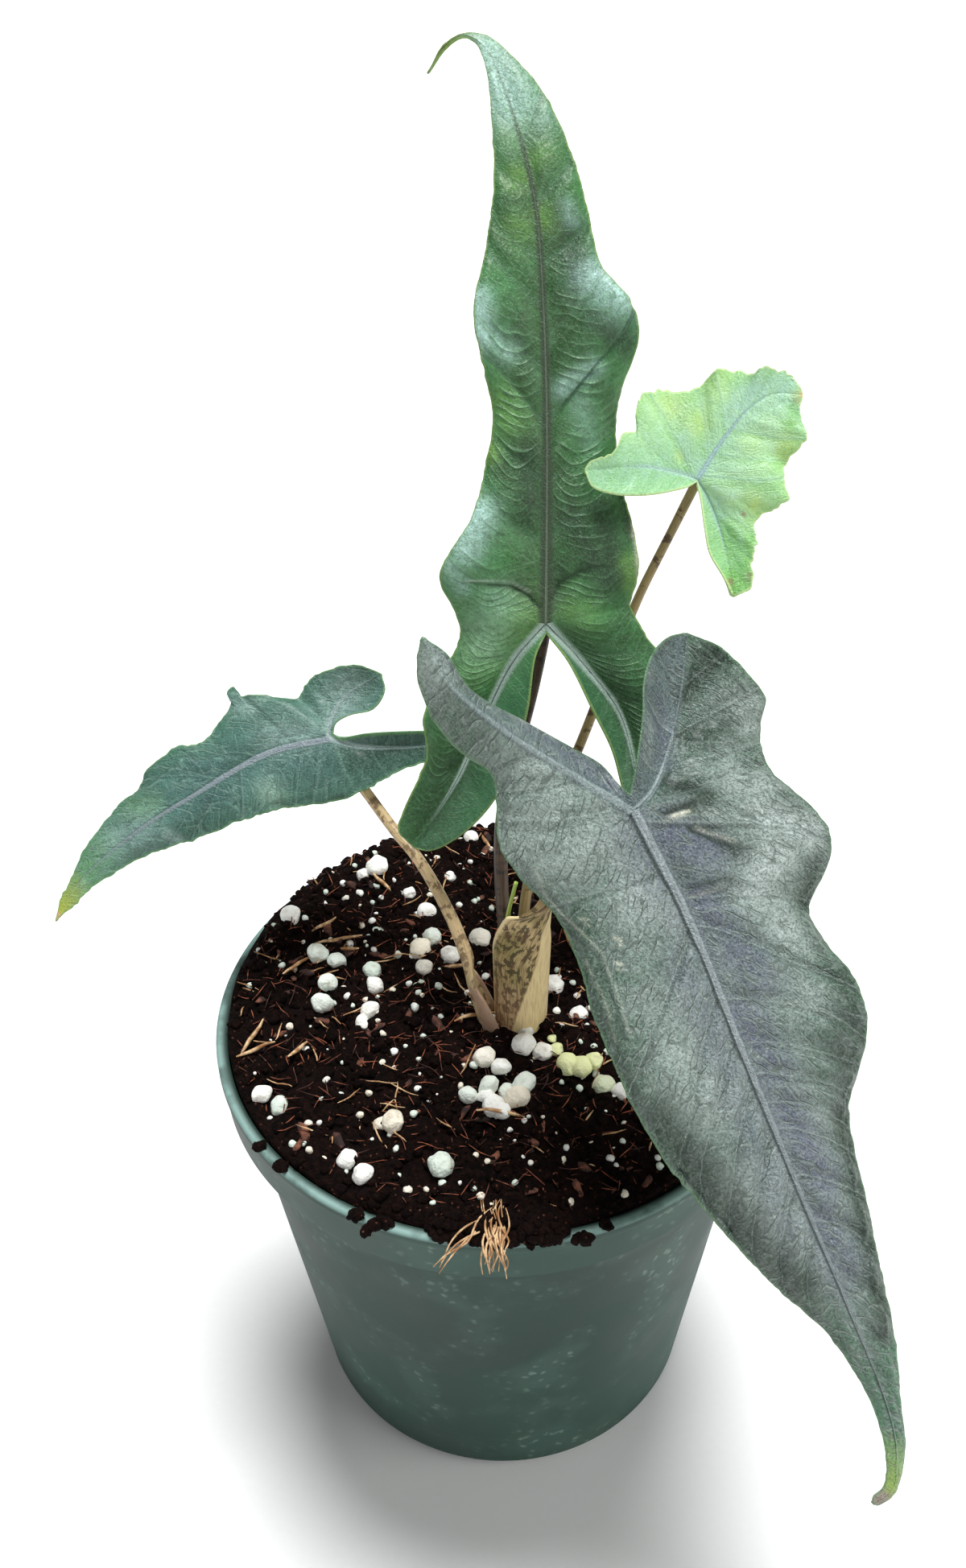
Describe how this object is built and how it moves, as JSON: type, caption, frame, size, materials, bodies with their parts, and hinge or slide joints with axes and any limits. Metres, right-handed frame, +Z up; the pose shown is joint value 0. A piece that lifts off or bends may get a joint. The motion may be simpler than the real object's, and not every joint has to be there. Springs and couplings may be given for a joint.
{
  "type": "potted alocasia",
  "caption": "Young aroid house plant with long arrow-shaped wavy leaves on thin mottled stalks, growing from a heaped perlite mix in a tapered round nursery pot.",
  "frame": {"origin": "centre of the pot's flat base, on the surface it stands on", "axes": "+Z up; the viewer stands at -Y, so the front leaf hangs over the pot's edge towards +X -Y and the low leaf points to -X"},
  "size_m": [0.2062, 0.2345, 0.3539],
  "materials": {
    "pot_plastic": "matte dark grey-green polypropylene with a dry mineral bloom",
    "potting_mix": "matte, crumbly, dark peat and bark with white perlite",
    "rhizome": "matte, brown, ringed",
    "stalk": "satin, tan to dark brown with cross mottling",
    "shoot": "satin, yellow-green",
    "leaf_green": "satin, mid green with a silver-blue sheen",
    "leaf_pewter": "satin, leathery pewter green with raised net veins",
    "leaf_teal": "satin, dark teal green with silver veins",
    "leaf_lime": "satin, pale lime green, mottled"
  },
  "bodies": {
    "root": {"pot": "pot_plastic", "potting_mix": "potting_mix", "rhizome": "rhizome", "stalk_tall": "stalk", "stalk_small": "stalk", "stalk_low": "stalk", "stalk_front": "stalk", "new_shoot": "shoot", "blade_tall": "leaf_green", "blade_small": "leaf_lime", "blade_low": "leaf_teal", "blade_front": "leaf_pewter"}
  },
  "joints": []
}
